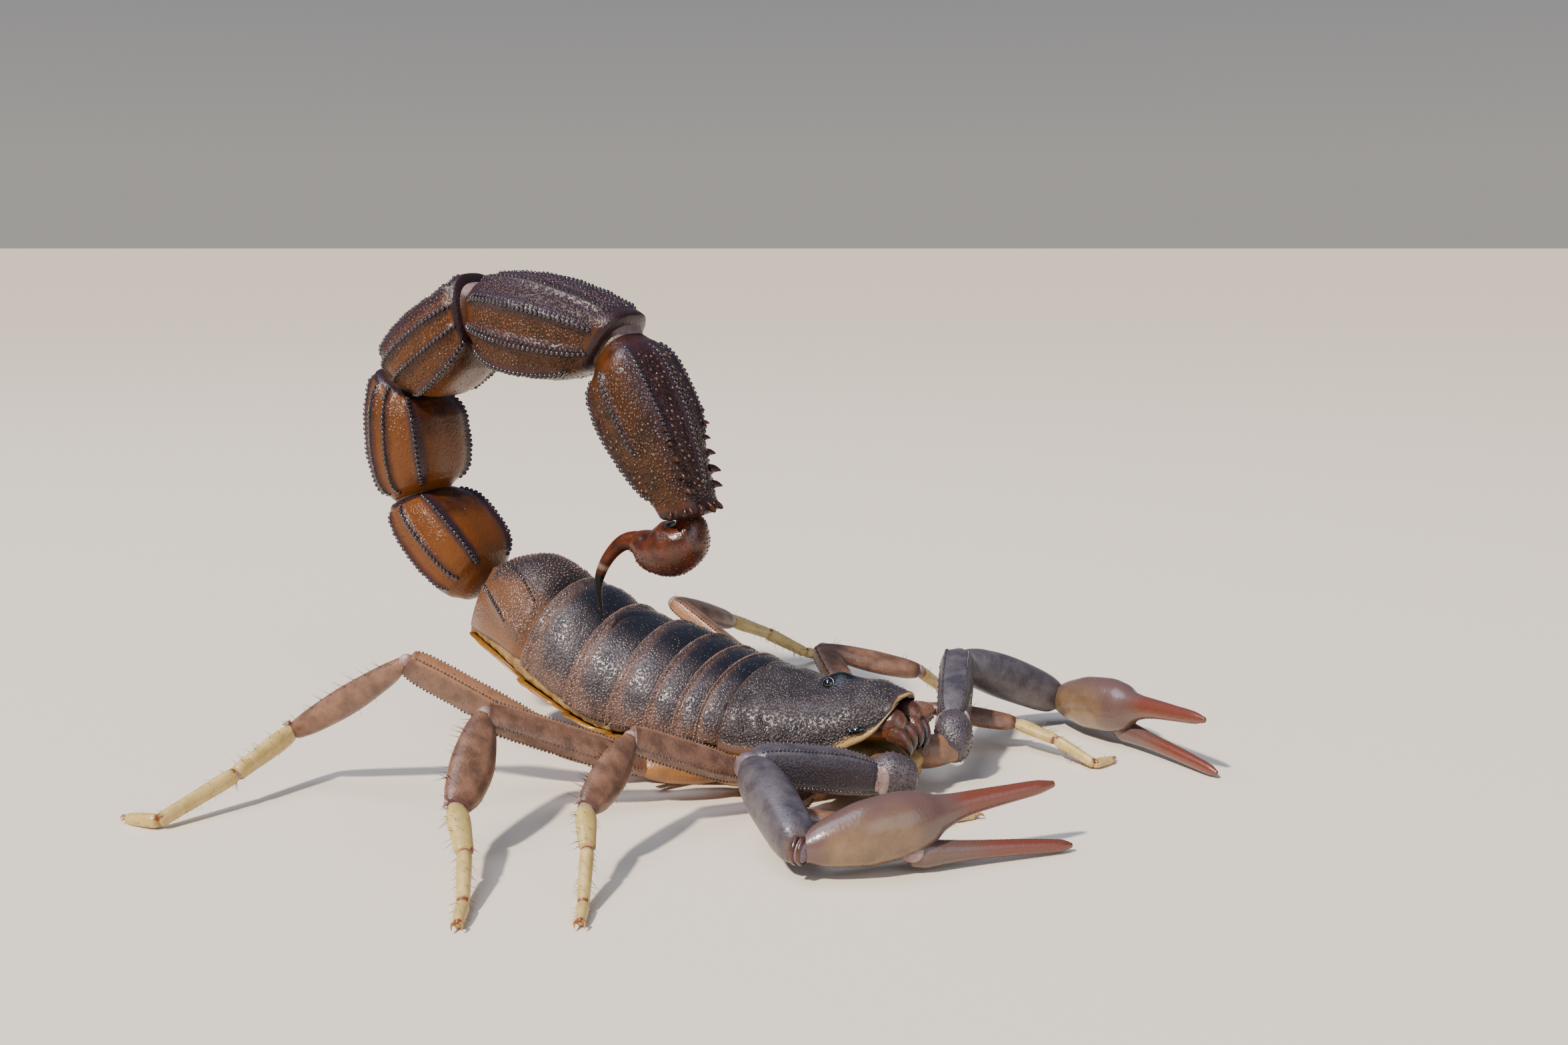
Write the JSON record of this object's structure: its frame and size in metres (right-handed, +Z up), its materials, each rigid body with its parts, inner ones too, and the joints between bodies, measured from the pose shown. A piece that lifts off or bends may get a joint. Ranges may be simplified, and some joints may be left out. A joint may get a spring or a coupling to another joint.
{
  "type": "desert scorpion",
  "caption": "Still life-size model of a thick-tailed desert scorpion standing with its tail arched over its back, pincers held low and forward, legs spread on the floor.",
  "frame": {"origin": "middle of the outline's box, on the floor between the feet", "axes": "+X the way the head looks, +Y the animal's left, +Z up; the back and tail stand over the floor plane z = 0"},
  "size_m": [0.0786, 0.0738, 0.0404],
  "materials": {
    "trunk_cuticle": "dark slate-brown granular cuticle, satin",
    "tail_cuticle": "dark brown cuticle with beaded keels, glossy",
    "sting": "red-brown cuticle, glossy",
    "underside": "smooth golden cuticle, satin gloss",
    "eye": "black, polished lens",
    "chelicera": "orange-brown cuticle, satin gloss",
    "palp_cuticle": "slate-brown cuticle, satin",
    "hand": "smooth olive-brown cuticle, glossy",
    "finger": "smooth terracotta cuticle, glossy",
    "leg_cuticle": "mauve-brown cuticle, satin",
    "pale_leg": "pale straw-yellow cuticle, satin"
  },
  "bodies": {
    "root": {"carapace": "trunk_cuticle", "mesosoma_1": "trunk_cuticle", "mesosoma_2": "trunk_cuticle", "mesosoma_3": "trunk_cuticle", "mesosoma_4": "trunk_cuticle", "mesosoma_5": "trunk_cuticle", "mesosoma_6": "trunk_cuticle", "mesosoma_7": "trunk_cuticle", "metasoma_1": "tail_cuticle", "metasoma_2": "tail_cuticle", "metasoma_3": "tail_cuticle", "metasoma_4": "tail_cuticle", "metasoma_5": "tail_cuticle", "vesicle": "sting", "aculeus": "sting", "coxosternum": "underside", "eye_left": "eye", "eye_right": "eye", "chelicera_left": "chelicera", "chelicera_right": "chelicera", "palp_left_femur": "palp_cuticle", "palp_left_patella": "palp_cuticle", "palp_left_hand": "hand", "palp_left_finger": "finger", "palp_right_femur": "palp_cuticle", "palp_right_patella": "palp_cuticle", "palp_right_hand": "hand", "palp_right_finger": "finger", "leg_1_left_femur": "leg_cuticle", "leg_1_left_patella": "leg_cuticle", "leg_1_left_tibia": "pale_leg", "leg_1_left_tarsus": "pale_leg", "leg_2_left_femur": "leg_cuticle", "leg_2_left_patella": "leg_cuticle", "leg_2_left_tibia": "pale_leg", "leg_2_left_tarsus": "pale_leg", "leg_3_left_femur": "leg_cuticle", "leg_3_left_patella": "leg_cuticle", "leg_3_left_tibia": "pale_leg", "leg_3_left_tarsus": "pale_leg", "leg_4_left_femur": "leg_cuticle", "leg_4_left_patella": "leg_cuticle", "leg_4_left_tibia": "pale_leg", "leg_4_left_tarsus": "pale_leg", "leg_1_right_femur": "leg_cuticle", "leg_1_right_patella": "leg_cuticle", "leg_1_right_tibia": "pale_leg", "leg_1_right_tarsus": "pale_leg", "leg_2_right_femur": "leg_cuticle", "leg_2_right_patella": "leg_cuticle", "leg_2_right_tibia": "pale_leg", "leg_2_right_tarsus": "pale_leg", "leg_3_right_femur": "leg_cuticle", "leg_3_right_patella": "leg_cuticle", "leg_3_right_tibia": "pale_leg", "leg_3_right_tarsus": "pale_leg", "leg_4_right_femur": "leg_cuticle", "leg_4_right_patella": "leg_cuticle", "leg_4_right_tibia": "pale_leg", "leg_4_right_tarsus": "pale_leg"}
  },
  "joints": []
}
